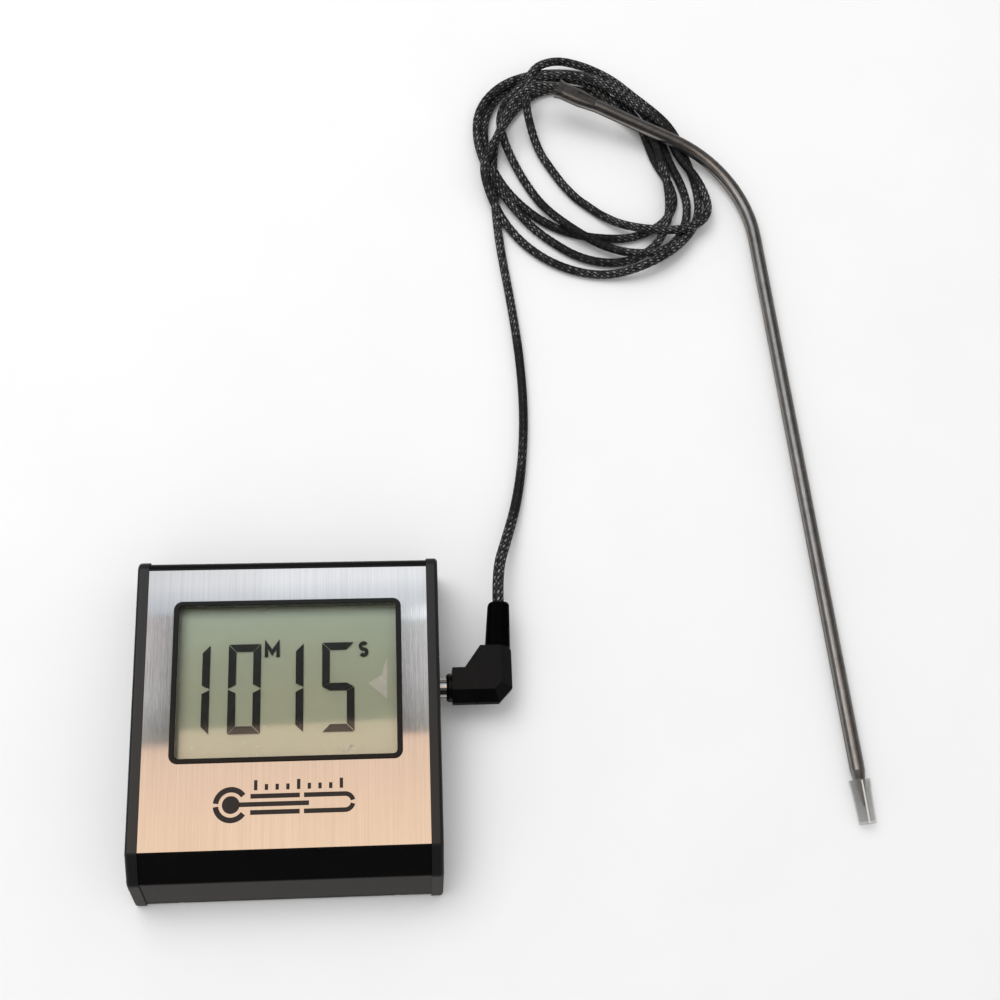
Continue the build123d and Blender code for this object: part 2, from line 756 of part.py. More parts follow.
def thermistor():
    axis = Vector(*probe_point) - Vector(*probe_corner)
    bead = Plane(origin=along(stem_end, probe_corner, sensor_back), z_dir=axis)
    nose = Pos(0, 0, sensor_length / 2) * Sphere(sensor_radius)
    return bead * (Cylinder(sensor_radius, sensor_length) + nose)


def sensor_leads():
    """Insulated pair from the cord to the sensor bead, through the tube's bend."""
    start = tuple(along(probe_mouth, probe_corner, crimp_grip))
    end = tuple(along(stem_end, probe_corner, sensor_back + sensor_length / 2))
    path = probe_path(start, end)
    section = Plane(origin=path @ 0, z_dir=path % 0) * Circle(0.6)
    return sweep(section, path=path)


def tip_guard():
    """Flattened clear sleeve pushed over the point, flared at its mouth and sealed at its end."""
    axis = Vector(*probe_point) - Vector(*probe_corner)
    side = axis.cross(Vector(0, 0, 1)).normalized()
    place = along(probe_point, probe_corner, guard_start)
    mouth = Plane(origin=place, x_dir=side, z_dir=axis)
    sections = [(0.0, 5.6, 3.7), (1.2, 5.4, 3.7), (3.0, 4.9, 3.6), (guard_length, 4.4, 3.0)]
    outer = loft([mouth.offset(d) * RectangleRounded(w, h, h * 0.42) for d, w, h in sections], ruled=True)
    sections = [(-0.1, 5.0, 3.1), (3.0, 4.3, 3.0), (guard_length - 0.8, 3.8, 2.0)]
    inner = loft([mouth.offset(d) * RectangleRounded(w, h, h * 0.42) for d, w, h in sections], ruled=True)
    return outer - inner


# ---- Export ----
save("front_shell", front_shell())
save("face_plate", face_plate())
save("window_bezel", window_bezel())
save("window_lens", window_lens())
save("end_cap_left", end_cap(-1))
save("end_cap_right", end_cap(1))
save("rear_cover", rear_cover())
save("lcd_cell", lcd_cell())
save("lcd_reflector", lcd_reflector())
save("lcd_frame", lcd_frame())
save("zebra_strips", zebra_strips())
save("main_board", main_board())
save("chip_cover", chip_cover())
save("board_parts", board_parts())
save("tact_switches", tact_switches())
save("piezo_disc", piezo_disc())
for name, x in zip(button_names, button_x):
    save(name, button(x))
save("unit_switch_body", unit_switch_body())
save("unit_switch_knob", unit_switch_knob())
save("battery_tray", battery_tray())
save("battery", battery())
save("battery_contact", battery_contact())
save("battery_spring", battery_spring())
save("battery_door", battery_door())
save("stand_leg", stand_leg())
save("stand_pin", stand_pin())
save("magnets", magnets())
save("case_screws", case_screws())
save("board_screws", board_screws())
save("jack_socket", jack_socket())
save("jack_contact", jack_contact())
save("plug_tip", plug_tip())
save("plug_insulator", plug_insulator())
save("plug_sleeve", plug_sleeve())
save("plug_body", plug_body())
save("plug_boot", plug_boot())
save("cord_lead", cord_tube("cord_lead", lead_route))
save("cord_coil", cord_coil())
save("cord_tail", cord_tube("cord_tail", tail_route))
save("probe_crimp", probe_crimp())
save("probe_tube", probe_tube())
save("probe_tip", probe_tip())
save("thermistor", thermistor())
save("sensor_leads", sensor_leads())
save("tip_guard", tip_guard())
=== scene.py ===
"""The looks of the meat thermometer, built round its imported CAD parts. Every length is in metres."""
import math
import random

import bmesh
import bpy
from mathutils import Matrix, Vector


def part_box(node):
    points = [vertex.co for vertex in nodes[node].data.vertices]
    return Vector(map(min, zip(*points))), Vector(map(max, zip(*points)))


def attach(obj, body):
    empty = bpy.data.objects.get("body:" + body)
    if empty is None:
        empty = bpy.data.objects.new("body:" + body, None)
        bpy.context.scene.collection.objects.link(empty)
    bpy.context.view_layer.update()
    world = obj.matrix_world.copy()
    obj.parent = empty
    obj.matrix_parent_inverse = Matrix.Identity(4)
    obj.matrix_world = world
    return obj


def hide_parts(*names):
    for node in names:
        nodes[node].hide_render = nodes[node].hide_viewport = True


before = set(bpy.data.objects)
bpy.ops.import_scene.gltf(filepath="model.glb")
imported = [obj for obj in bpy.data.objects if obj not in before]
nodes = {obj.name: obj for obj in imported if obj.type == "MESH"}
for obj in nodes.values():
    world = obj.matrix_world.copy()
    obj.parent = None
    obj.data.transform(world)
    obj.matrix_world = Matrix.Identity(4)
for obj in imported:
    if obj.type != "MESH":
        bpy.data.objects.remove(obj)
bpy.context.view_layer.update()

MM = 0.001


# ---- Camera: the point looked at, two angles round it, a roll and a distance ----
LOOK_AT = Vector((0.0556, 0.0625, 0.0))
CAMERA_AZIMUTH = math.radians(-13.11)
CAMERA_ELEVATION = math.radians(70.62)
CAMERA_ROLL = math.radians(11.58)
CAMERA_DISTANCE = 0.37936


def make_camera():
    flat = math.cos(CAMERA_ELEVATION)
    back = Vector((
        math.sin(CAMERA_AZIMUTH) * flat,
        -math.cos(CAMERA_AZIMUTH) * flat,
        math.sin(CAMERA_ELEVATION),
    ))
    camera = bpy.data.objects.new("camera", bpy.data.cameras.new("camera"))
    camera.data.lens = 50
    camera.data.sensor_width = 36
    camera.data.clip_start = 0.01
    camera.location = LOOK_AT + back * CAMERA_DISTANCE
    level = (-back).to_track_quat("-Z", "Y").to_matrix()
    camera.rotation_euler = (level @ Matrix.Rotation(CAMERA_ROLL, 3, "Z")).to_euler()
    bpy.context.scene.collection.objects.link(camera)
    bpy.context.scene.camera = camera


# ---- Node trees ----
class Nodes:
    """Short ways to add and join the nodes of one tree."""

    def __init__(self, tree):
        self.tree = tree

    def add(self, kind, *inputs, **options):
        """A node with its first inputs set to values or joined to other nodes' outputs."""
        node = self.tree.nodes.new("ShaderNode" + kind)
        for option, value in options.items():
            setattr(node, option, value)
        for socket, value in zip(node.inputs, inputs):
            self.put(socket, value)
        return node

    def put(self, socket, value):
        """Sets a socket to a value, or joins it to an output. None leaves it alone."""
        if isinstance(value, bpy.types.Node):
            value = value.outputs[0]
        if isinstance(value, bpy.types.NodeSocket):
            self.tree.links.new(value, socket)
        elif value is not None:
            socket.default_value = value

    def span(self, value, low, high, to_low=0.0, to_high=1.0):
        """Maps a value from one range to another, held at its ends."""
        return self.add("MapRange", value, low, high, to_low, to_high).outputs[0]

    def math(self, operation, *values):
        return self.add("Math", *values, operation=operation).outputs[0]

    def mix(self, share, first, second, **options):
        """Mixes two colours."""
        node = self.add("Mix", data_type="RGBA", **options)
        for socket, value in zip((node.inputs[0], node.inputs[6], node.inputs[7]), (share, first, second)):
            self.put(socket, value)
        return node.outputs[2]

    def choose(self, share, first, second):
        """Mixes two numbers."""
        node = self.add("Mix", data_type="FLOAT")
        for socket, value in zip((node.inputs[0], node.inputs[2], node.inputs[3]), (share, first, second)):
            self.put(socket, value)
        return node.outputs[0]

    def ramp(self, value, stops):
        """A colour read off a band of stops, each a position and a colour."""
        node = self.add("ValToRGB", value)
        elements = node.color_ramp.elements
        while len(elements) < len(stops):
            elements.new(0.5)
        for element, (position, colour) in zip(elements, stops):
            element.position = position
            element.color = colour
        return node.outputs[0]


class Shade(Nodes):
    """One material: its Principled surface and the usual nodes in front of it."""

    def __init__(self, name, **sockets):
        self.material = bpy.data.materials.new(name)
        self.material.use_nodes = True
        super().__init__(self.material.node_tree)
        self.surface = self.tree.nodes["Principled BSDF"]
        for socket, value in sockets.items():
            self.surface.inputs[socket.replace("_", " ")].default_value = value

    def drive(self, socket, value):
        """Joins an output to a socket of the surface."""
        self.put(self.surface.inputs[socket], value)

    def place(self, scale=(1, 1, 1)):
        """The point being shaded, in the object's own metres, stretched along each axis."""
        mapping = self.add("Mapping", self.add("TexCoord").outputs["Object"])
        mapping.inputs["Scale"].default_value = scale
        return mapping

    def noise(self, place, scale, detail=4.0, roughness=0.5):
        noise = self.add("TexNoise")
        self.put(noise.inputs["Vector"], place)
        noise.inputs["Scale"].default_value = scale
        noise.inputs["Detail"].default_value = detail
        noise.inputs["Roughness"].default_value = roughness
        return noise.outputs["Fac"]

    def pulse(self, value, low, high):
        """Rises from 0 to 1 as a value leaves 0, and falls again as it nears 1."""
        edge = self.math("SUBTRACT", 0.5, self.math("ABSOLUTE", self.math("SUBTRACT", value, 0.5)))
        return self.span(edge, low, high)

    def bump(self, height, strength, distance):
        node = self.add("Bump")
        node.inputs["Strength"].default_value = strength
        node.inputs["Distance"].default_value = distance
        self.put(node.inputs["Height"], height)
        self.drive("Normal", node)

    def lean(self, x, y):
        """Tips the surface by a small slope, as for glass that sits a little askew."""
        normal = self.add("NewGeometry").outputs["Normal"]
        tipped = self.add("VectorMath", normal, (x, y, 0.0), operation="ADD")
        self.drive("Normal", self.add("VectorMath", tipped, operation="NORMALIZE"))


def add_mesh(name, mesh, material):
    """Turns a bmesh into a piece with this material."""
    data = bpy.data.meshes.new(name)
    mesh.to_mesh(data)
    mesh.free()
    data.materials.append(material)
    piece = bpy.data.objects.new(name, data)
    bpy.context.scene.collection.objects.link(piece)
    return piece


# ---- Kinds of material ----
def grey(value, tint=(1.0, 1.0, 1.0)):
    return (value * tint[0], value * tint[1], value * tint[2], 1.0)


def scaled(colour, factor):
    """A darker or lighter shade of a colour."""
    return tuple(factor * c for c in colour[:3]) + (1.0,)


def moulded(name, colour, roughness, grain=9000.0, depth=6e-6, gloss=0.5):
    """Moulded plastic: a fine pebble, faint handling marks and a little dust."""
    shade = Shade(name, Specular_IOR_Level=gloss)
    place = shade.place()
    wear = shade.noise(place, 120.0, 6.0, 0.6)
    dust = shade.span(shade.noise(place, 5200.0, 2.0), 0.70, 0.78)
    worn = shade.mix(wear, scaled(colour, 0.75), scaled(colour, 1.3))
    speckled = shade.mix(shade.math("MULTIPLY", dust, 0.04), worn, grey(0.45))
    shade.drive("Base Color", speckled)
    shade.drive("Roughness", shade.span(wear, 0.3, 0.7, roughness * 0.8, roughness * 1.25))
    shade.bump(shade.noise(place, grain, 3.0), 0.35, depth)
    return shade.material


# The noise is much finer along z, so the lines lie level.
DRAWN_LINES = (300.0, 300.0, 9000.0)


def polished(name, colour, roughness):
    """Bare metal with fine drawn lines and a little tarnish."""
    shade = Shade(name, Metallic=1.0)
    lines = shade.noise(shade.place(DRAWN_LINES), 1.0, 5.0, 0.7)
    tarnish = shade.noise(shade.place(), 260.0, 5.0, 0.6)
    shade.drive("Base Color", shade.mix(shade.span(tarnish, 0.3, 0.7), scaled(colour, 0.72), colour))
    shade.drive("Roughness", shade.span(lines, 0.3, 0.7, roughness * 0.75, roughness * 1.3))
    shade.bump(lines, 0.2, 6e-6)
    return shade.material


def brushed_face():
    """Steel sheet with its grain running up the face: fine and broad lines, and smudges."""
    shade = Shade("brushed_face", Metallic=1.0)
    fine = shade.noise(shade.place((9000.0, 50.0, 50.0)), 1.0, 3.0, 0.7)
    broad = shade.noise(shade.place((1500.0, 9.0, 9.0)), 1.0, 4.0, 0.6)
    smudge = shade.noise(shade.place(), 55.0, 4.0, 0.55)
    tone = shade.math("ADD", shade.math("MULTIPLY", fine, 0.6), shade.math("MULTIPLY", broad, 0.4))
    brushed = shade.mix(shade.span(tone, 0.35, 0.65), grey(0.62), grey(0.74, (1.0, 0.995, 0.985)))
    stained = shade.mix(shade.span(smudge, 0.45, 0.75, 0.0, 0.10), brushed, grey(0.5, (1.0, 0.93, 0.85)))
    shade.drive("Base Color", stained)
    shade.drive("Roughness", shade.span(smudge, 0.3, 0.7, 0.03, 0.06))
    shade.bump(tone, 0.35, 1.6e-5)
    return shade.material


# The slope in y at which the window and the display sit.
GLASS_LEAN = -0.0075


def window_plastic():
    """Clear polished sheet: what it doesn't mirror passes straight through. Faint specks of dust."""
    shade = Shade("lens_clear", Metallic=1.0, Base_Color=grey(0.95))
    place = shade.place()
    specks = shade.span(shade.noise(place, 3800.0, 2.0), 0.74, 0.82)
    mirrored = shade.span(shade.add("Fresnel", 1.6).outputs[0], 0.0, 1.0, 0.035, 1.0)
    shade.drive("Alpha", shade.math("ADD", shade.math("MULTIPLY", specks, 0.1), mirrored))
    shade.drive("Roughness", shade.span(shade.noise(place, 160.0, 5.0), 0.3, 0.7, 0.02, 0.045))
    shade.lean(0.0, GLASS_LEAN)
    return shade.material


def clear(name, tint, alpha, roughness):
    """Thin clear plastic: partly see-through, with a gloss, flow lines and faint dust."""
    shade = Shade(name, IOR=1.49)
    place = shade.place()
    specks = shade.span(shade.noise(place, 3800.0, 2.0), 0.74, 0.82)
    flow = shade.noise(shade.place((900.0, 120.0, 900.0)), 1.0, 3.0)
    shade.drive("Base Color", shade.mix(shade.span(flow, 0.35, 0.65), scaled(tint, 0.7), tint))
    shade.drive("Alpha", shade.math("ADD", shade.math("MULTIPLY", specks, 0.2), alpha))
    shade.drive("Roughness", shade.span(flow, 0.3, 0.7, roughness, roughness * 2.0))
    shade.bump(flow, 0.3, 2e-5)
    return shade.material


LCD_OLIVE = (0.65, 0.68, 0.48, 1.0)
LCD_STRAW = (0.71, 0.71, 0.48, 1.0)
LCD_BLUISH = (0.66, 0.76, 0.575, 1.0)
LCD_SPECK = (0.53, 0.56, 0.39, 1.0)
# Where the display turns from its lower colours to the bluish one, in y.
LCD_TURN = (0.008, 0.028)


def lcd_glass():
    """Reflective display: grey green, bluer to its top, with a faint mottle under its polished glass."""
    shade = Shade("lcd_glass", IOR=2.0)
    place = shade.place()
    mottle = shade.noise(place, 900.0, 4.0)
    cloud = shade.noise(place, 60.0, 3.0)
    lower = shade.mix(shade.span(cloud, 0.35, 0.65), LCD_OLIVE, LCD_STRAW)
    split = shade.add("SeparateXYZ", place)
    body = shade.mix(shade.span(split.outputs["Y"], *LCD_TURN), lower, LCD_BLUISH)
    shade.drive("Base Color", shade.mix(shade.math("MULTIPLY", mottle, 0.2), body, LCD_SPECK))
    shade.drive("Roughness", shade.span(mottle, 0.3, 0.7, 0.03, 0.06))
    shade.lean(0.0, GLASS_LEAN)
    return shade.material


def dyed(name, colour, roughness, metallic=0.0):
    """Inner parts: a plain material with a slight mottle and grain."""
    shade = Shade(name, Metallic=metallic)
    place = shade.place()
    mottle = shade.noise(place, 700.0, 5.0)
    shade.drive("Base Color", shade.mix(mottle, scaled(colour, 0.7), colour))
    shade.drive("Roughness", shade.span(mottle, 0.3, 0.7, roughness * 0.8, min(1.0, roughness * 1.2)))
    shade.bump(shade.noise(place, 6000.0, 3.0), 0.2, 5e-6)
    return shade.material


# ---- The braid's cells, in turns round the cord and metres along it ----
CORD_DIAMETER = 0.0025
BRAID_CARRIERS = 8
BRAID_PITCH = 0.0150
WIRES_PER_CARRIER = 3


def braid_material():
    """Steel wires braided over a black core: bright dashes in slanted rows, dark gaps between them."""
    shade = Shade("cord_braid", Specular_IOR_Level=0.35)
    split = shade.add("SeparateXYZ", shade.add("TexCoord").outputs["UV"])
    turns = shade.math("MULTIPLY", split.outputs["X"], float(BRAID_CARRIERS))
    rows = shade.math("MULTIPLY", split.outputs["Y"], BRAID_CARRIERS / BRAID_PITCH)
    rise, fall = shade.math("ADD", turns, rows), shade.math("SUBTRACT", turns, rows)
    parity = shade.math("ADD", shade.math("FLOOR", rise), shade.math("FLOOR", fall))
    over = shade.math("GREATER_THAN", shade.math("MODULO", shade.math("ABSOLUTE", parity), 2.0), 0.5)
    one, other = shade.math("FRACT", rise), shade.math("FRACT", fall)
    across = shade.choose(over, one, other)
    along = shade.choose(over, other, one)
    dash = shade.math("MULTIPLY", shade.pulse(across, 0.22, 0.40), shade.pulse(along, 0.02, 0.16))
    wires = shade.math("SINE", shade.math("MULTIPLY", across, 2 * math.pi * WIRES_PER_CARRIER))
    dash = shade.math("MULTIPLY", dash, shade.span(wires, -0.8, 0.6, 0.45, 1.0))
    dash = shade.math("MULTIPLY", dash, shade.span(over, 0.0, 1.0, 0.22, 1.0))
    # Along random stretches of the cord the bright dashes fade almost out.
    dark_stretches = shade.noise(shade.place(), 38.0, 3.0, 0.55)
    broken = shade.noise(shade.place(), 900.0, 2.0)
    dash = shade.math("MULTIPLY", dash, shade.span(dark_stretches, 0.42, 0.60, 0.06, 1.0))
    dash = shade.math("MULTIPLY", dash, shade.span(broken, 0.42, 0.56, 0.05, 1.0))
    shade.drive("Base Color", shade.mix(dash, grey(0.006), grey(0.66)))
    shade.drive("Metallic", shade.span(dash, 0.3, 0.8))
    shade.drive("Roughness", shade.span(dash, 0.0, 1.0, 0.55, 0.32))
    shade.bump(dash, 0.5, 5e-5)
    return shade.material


# ---- Cord ----
LEAD = [
    (0.0535, 0.0316, 0.0070),
    (0.0535, 0.0405, 0.0070),
    (0.0566, 0.0500, 0.0039),
    (0.0600, 0.0610, 0.0014),
    (0.0622, 0.0740, 0.00132),
    (0.0632, 0.0890, 0.0013),
    (0.0626, 0.1055, 0.0013),
    (0.0608, 0.1223, 0.0013),
    (0.0587, 0.1372, 0.0013),
    (0.0575, 0.1510, 0.0013),
]
# Up from the coil to just inside the crimp's mouth.
TAIL = [
    (0.0594, 0.1749, 0.0060),
    (0.0616, 0.1810, 0.0089),
    (0.0662, 0.1864, 0.0110),
    (0.0732, 0.1885, 0.0115),
    (0.0760, 0.1874, 0.0111),
]
COIL_CENTRE = Vector((0.088, 0.167))
CLOCK_STEP = 30
# Distance of each loose turn from the coil's middle in mm, every 30 degrees clockwise from the left.
TURNS = [
    (31.9, 30.0, 30.0, 25.4, 22.6, 18.2, 18.4, 26.4, 26.5, 24.3, 24.6, 26.5),
    (31.1, 36.6, 35.2, 26.6, 18.6, 19.6, 19.3, 24.1, 31.9, 32.5, 29.2, 29.0),
    (33.1, 39.0, 34.7, 27.5, 23.9, 22.3, 22.5, 30.7, 34.7, 27.4, 22.9, 21.2),
    (23.9, 32.5, 32.6, 25.6, 21.9, 24.0, 25.6, 37.4, 26.9, 16.2, 12.7, 12.0),
    (14.0, 21.5, 35.6, 33.7, 27.1, 26.9, 27.8, 34.2, 36.3, 36.5, 35.2, 33.6),
]
# The same for the two stations after the last turn.
COIL_END = (33.8, 30.2)


def turn_radius(turns_done):
    """Distance from the coil's middle after so many turns: a smooth curve through the distances above."""
    values = [r for turn in TURNS for r in turn] + list(COIL_END)
    at = turns_done * 360 / CLOCK_STEP
    i = min(int(at), len(values) - 2)
    t = at - i
    a, b, c, d = (values[min(max(i + k, 0), len(values) - 1)] for k in (-1, 0, 1, 2))
    curve = b + 0.5 * t * (c - a + t * (2 * a - 5 * b + 4 * c - d + t * (3 * (b - c) + d - a)))
    return curve * MM


def on_coil(turns_done):
    angle = math.pi - 2 * math.pi * turns_done
    return COIL_CENTRE + turn_radius(turns_done) * Vector((math.cos(angle), math.sin(angle)))


# Where the lead joins the coil and where the tail leaves it, in turns.
COIL_START = 0.035
COIL_STOP = len(TURNS) + 0.015
POINTS_PER_TURN = 24
# The stretch, in turns from the start, that lies over all the others, and how far apart two points
# of the cord are before one can lie on the other.
TOP_STRETCH = (3.42, 4.25)
OWN_STRETCH = 0.3
# Steps per turn at which the crossings are looked for, the cord's steepest slope, a hair of air
# under it, and how often the heights are evened out.
FINE_STEPS = 120
LAY_SLOPE = 0.28
FLOOR_GAP = 0.00005
SETTLING_ROUNDS = 5


def lies_over(first, second):
    """Whether the cord at one place lies over the cord at the other, where they cross."""
    if abs(first - second) < OWN_STRETCH:
        return False
    first_on_top = TOP_STRETCH[0] < first < TOP_STRETCH[1]
    second_on_top = TOP_STRETCH[0] < second < TOP_STRETCH[1]
    if first_on_top != second_on_top:
        return first_on_top
    return first > second


def lay_turns():
    """Fine points along the turns, each lying on the floor or on the turns under it."""
    count = int(round((COIL_STOP - COIL_START) * FINE_STEPS))
    places = [COIL_START + i / FINE_STEPS for i in range(count + 1)]
    spots = [on_coil(place) for place in places]
    supports = []
    for i, place in enumerate(places):
        under = []
        for j, other in enumerate(places):
            gap = (spots[i] - spots[j]).length
            if gap < CORD_DIAMETER and lies_over(place, other):
                under.append((j, math.sqrt(CORD_DIAMETER ** 2 - gap ** 2)))
        supports.append(under)
    heights = [CORD_DIAMETER / 2 + FLOOR_GAP] * len(places)
    for _ in range(SETTLING_ROUNDS):
        for i, under in enumerate(supports):
            heights[i] = max([heights[i]] + [heights[j] + rise for j, rise in under])
        for order, back in ((range(1, len(places)), -1), (range(len(places) - 2, -1, -1), 1)):
            for i in order:
                drop = LAY_SLOPE * (spots[i] - spots[i + back]).length
                heights[i] = max(heights[i], heights[i + back] - drop)
    return list(zip(spots, heights))


def coil_points():
    """The turns' control points: a little outside the turns, because the spline cuts inside them."""
    laid = lay_turns()
    outside = 1 / (0.75 + 0.25 * math.cos(2 * math.pi / POINTS_PER_TURN))
    every = FINE_STEPS // POINTS_PER_TURN
    points = []
    for i in range(0, len(laid), every):
        place, _ = laid[i]
        height = max(h for _, h in laid[max(0, i - every // 2):i + every // 2 + 1])
        wide = COIL_CENTRE + (place - COIL_CENTRE) * outside
        points.append((wide.x, wide.y, height))
    return points


def spline_line(points):
    """The fine line of an open NURBS spline with these control points."""
    curve = bpy.data.curves.new("cord_route", "CURVE")
    curve.dimensions = "3D"
    curve.resolution_u = 8
    spline = curve.splines.new("NURBS")
    spline.points.add(len(points) - 1)
    for point, place in zip(spline.points, points):
        point.co = (*place, 1.0)
    spline.order_u = 3
    spline.use_endpoint_u = True
    holder = bpy.data.objects.new("cord_route", curve)
    bpy.context.scene.collection.objects.link(holder)
    bpy.context.view_layer.update()
    line = bpy.data.meshes.new_from_object(holder)
    places = [v.co.copy() for v in line.vertices]
    bpy.data.objects.remove(holder)
    return places


def evenly(places, step):
    """Points at equal distances along a fine line, and its last point."""
    spots = [places[0]]
    left = step
    for a, b in zip(places, places[1:]):
        run = (b - a).length
        while left <= run:
            spots.append(a.lerp(b, left / run))
            left += step
        left -= run
    spots.append(places[-1])
    return spots


def frames_along(line):
    """A side and an up direction at each point, carried along without twisting."""
    side = Vector((0, 0, 1)).cross(line[1] - line[0]).normalized()
    frames = []
    for i, _ in enumerate(line):
        ahead = (line[min(i + 1, len(line) - 1)] - line[max(i - 1, 0)]).normalized()
        side = (side - ahead * side.dot(ahead)).normalized()
        frames.append((side, ahead.cross(side)))
    return frames


CORD_SIDES = 32
CORD_STEP = 0.00042
# How far the gaps lie under the crowns, and how round the crowns are: less than 1 flattens them.
BRAID_DEPTH = 0.00008
CROWN_ROUNDNESS = 0.7
# The braid sits looser on its core near the plug: how much wider, and how far that goes.
LOOSE_BRAID = 0.2
LOOSE_LENGTH = 0.045


def braid_height(turns, along):
    """From 0 in the gaps to 1 on the crown of the carrier that is on top."""
    one = turns * BRAID_CARRIERS + along * BRAID_CARRIERS / BRAID_PITCH
    other = turns * BRAID_CARRIERS - along * BRAID_CARRIERS / BRAID_PITCH
    odd = abs(math.floor(one) + math.floor(other)) % 2 > 0.5
    across = other % 1 if odd else one % 1
    return math.sin(math.pi * across) ** CROWN_ROUNDNESS


def make_cord():
    """The braided cord: a tube whose skin rises and falls with the braid, along the route's spline."""
    line = evenly(spline_line(LEAD + coil_points() + TAIL), CORD_STEP)
    mesh = bmesh.new()
    uv = mesh.loops.layers.uv.new("braid")
    rings = []
    for i, (place, (side, up)) in enumerate(zip(line, frames_along(line))):
        ring = []
        swell = 1 + LOOSE_BRAID * max(0.0, 1 - (i * CORD_STEP / LOOSE_LENGTH) ** 2)
        for k in range(CORD_SIDES):
            share = k / CORD_SIDES
            radius = swell * CORD_DIAMETER / 2 - BRAID_DEPTH * (1 - braid_height(share, i * CORD_STEP))
            angle = 2 * math.pi * share
            ring.append(mesh.verts.new(place + radius * (math.cos(angle) * side + math.sin(angle) * up)))
        rings.append(ring)
    for i, (ring, following) in enumerate(zip(rings, rings[1:])):
        for k in range(CORD_SIDES):
            n = (k + 1) % CORD_SIDES
            face = mesh.faces.new((ring[k], ring[n], following[n], following[k]))
            face.smooth = True
            corners = ((k, i), (k + 1, i), (k + 1, i + 1), (k, i + 1))
            for loop, (turn, row) in zip(face.loops, corners):
                loop[uv].uv = (turn / CORD_SIDES, row * CORD_STEP)
    mesh.faces.new(list(reversed(rings[0])))
    mesh.faces.new(rings[-1])
    cord = add_mesh("braided_cord", mesh, braid_material())
    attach(cord, "probe_lead")
    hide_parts("cord_lead", "cord_coil", "cord_tail")


# ---- Materials of the CAD parts ----
def paint_cad():
    shell = moulded("shell_black", grey(0.004), 0.2, gloss=0.32)
    bezel = moulded("bezel_black", grey(0.003), 0.2, gloss=0.35)
    caps = moulded("cap_black", grey(0.012, (0.95, 1.0, 1.05)), 0.3, gloss=0.6)
    back = moulded("back_black", grey(0.02), 0.5, grain=4200.0, depth=2.5e-5)
    keys = moulded("button_grey", grey(0.12), 0.42)
    plug = moulded("plug_black", grey(0.0025, (0.9, 1.0, 1.2)), 0.3, grain=5200.0, depth=1.4e-5, gloss=0.25)
    boot = moulded("boot_black", grey(0.001), 0.5, grain=7000.0, gloss=0.03)
    chrome = polished("plated", grey(0.72), 0.16)
    steel = polished("probe_steel", grey(0.54, (1.0, 0.99, 0.97)), 0.3)
    white = dyed("white_plastic", grey(0.7), 0.5)
    by_node = {
        "front_shell": shell,
        "window_bezel": bezel,
        "end_cap_left": caps,
        "end_cap_right": caps,
        "face_plate": brushed_face(),
        "window_lens": window_plastic(),
        "lcd_cell": lcd_glass(),
        "lcd_reflector": dyed("lcd_back", grey(0.5), 0.4),
        "lcd_frame": white,
        "zebra_strips": dyed("rubber_grey", grey(0.1), 0.8),
        "main_board": dyed("board_green", (0.02, 0.12, 0.04, 1.0), 0.4),
        "chip_cover": dyed("resin_black", grey(0.015), 0.25),
        "board_parts": dyed("part_metal", grey(0.5), 0.3, 1.0),
        "tact_switches": dyed("switch_black", grey(0.04), 0.5),
        "piezo_disc": dyed("brass", (0.6, 0.4, 0.16, 1.0), 0.35, 1.0),
        "battery": dyed("battery_label", (0.03, 0.04, 0.06, 1.0), 0.3),
        "jack_socket": dyed("socket_black", grey(0.02), 0.45),
        "plug_insulator": dyed("insulator_black", grey(0.02), 0.4),
        "jack_contact": dyed("contact_brass", (0.65, 0.5, 0.25, 1.0), 0.3, 1.0),
        "thermistor": dyed("sensor_resin", (0.4, 0.2, 0.08, 1.0), 0.5),
        "sensor_leads": dyed("lead_sleeve", (0.5, 0.4, 0.3, 1.0), 0.5),
        "tip_guard": clear("guard_clear", grey(0.30, (1.0, 0.98, 0.93)), 0.22, 0.16),
    }
    groups = [
        (back, ("rear_cover", "battery_tray", "battery_door", "stand_leg")),
        (keys, ("button_mode", "button_minute", "button_second", "button_start_stop", "unit_switch_knob")),
        (plug, ("plug_body",)),
        (boot, ("plug_boot",)),
        (chrome, ("plug_tip", "plug_sleeve", "battery_contact", "battery_spring", "stand_pin", "magnets",
                  "case_screws", "board_screws", "unit_switch_body")),
        (steel, ("probe_tube", "probe_tip", "probe_crimp")),
    ]
    for material, names in groups:
        by_node.update({name: material for name in names})
    for name, material in by_node.items():
        data = nodes[name].data
        data.materials.clear()
        data.materials.append(material)


# ---- Display ----
INK_THICK = 0.00004
INK_ABOVE_GLASS = 0.0003
SEGMENT_WIDTH = 0.0019
SEGMENT_GAP = 0.00012
SEGMENTS_OF = {"0": "abcdef", "1": "bc", "5": "afgcd"}
DIGIT_FOOT = -0.0021
DIGIT_HEIGHT = 0.0224
DIGIT_WIDTH = 0.0080
# Each digit, and the x of its right edge.
DIGIT_RIGHTS = [("1", -0.0193), ("0", -0.0068), ("1", 0.0037), ("5", 0.0163)]
# The small letters: width of their line, and the left edge, foot and height of each.
MARK_WIDTH = 0.00092
MINUTE_MARK = (-0.0055, 0.0169, 0.0033)
SECOND_MARK = (0.0176, 0.0169, 0.0031)


